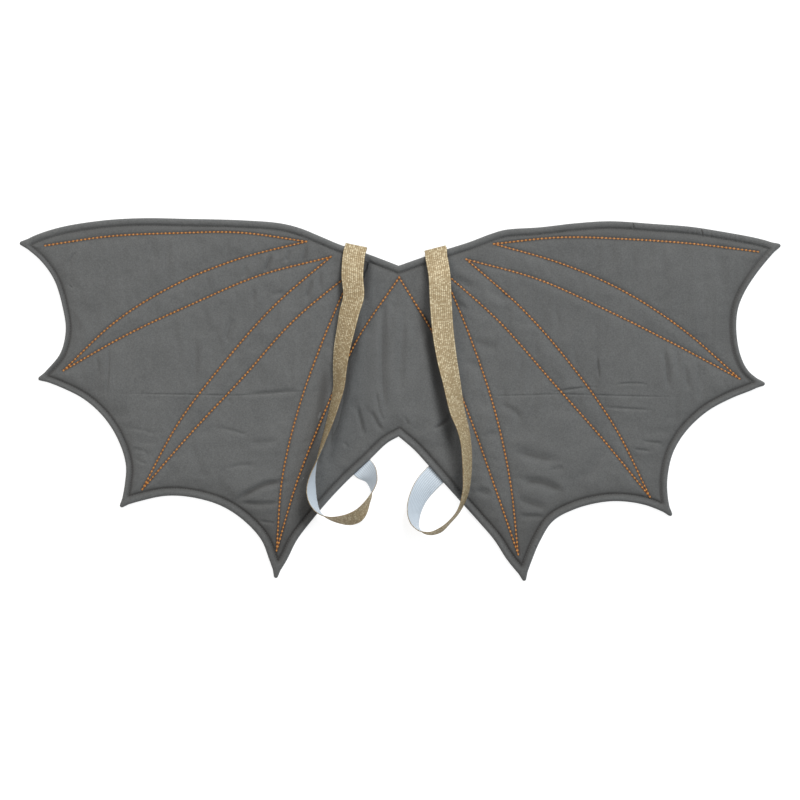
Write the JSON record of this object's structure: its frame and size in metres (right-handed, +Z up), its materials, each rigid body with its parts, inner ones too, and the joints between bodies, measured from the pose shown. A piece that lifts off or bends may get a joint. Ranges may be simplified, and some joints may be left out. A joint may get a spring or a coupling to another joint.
{
  "type": "costume wings",
  "caption": "Padded cotton dragon wings for a child, with a scalloped edge, stitched finger-bone ribs and elastic arm loops, lying flat.",
  "frame": {"origin": "on the surface that the wings lie on, under the middle of their outline", "axes": "+X towards the wing tip on the picture's right, +Y towards the neck edge, +Z up out of the front panel"},
  "size_m": [0.856, 0.4081, 0.0321],
  "materials": {
    "cotton": "matt woven cotton, mid grey",
    "elastic": "metallic gold knitted elastic, pale inside",
    "rib_thread": "shiny orange embroidery thread",
    "seam_thread": "dark grey sewing thread"
  },
  "bodies": {
    "root": {"front_panel": "cotton", "back_panel": "cotton", "strap_left": "elastic", "strap_right": "elastic"}
  },
  "joints": []
}
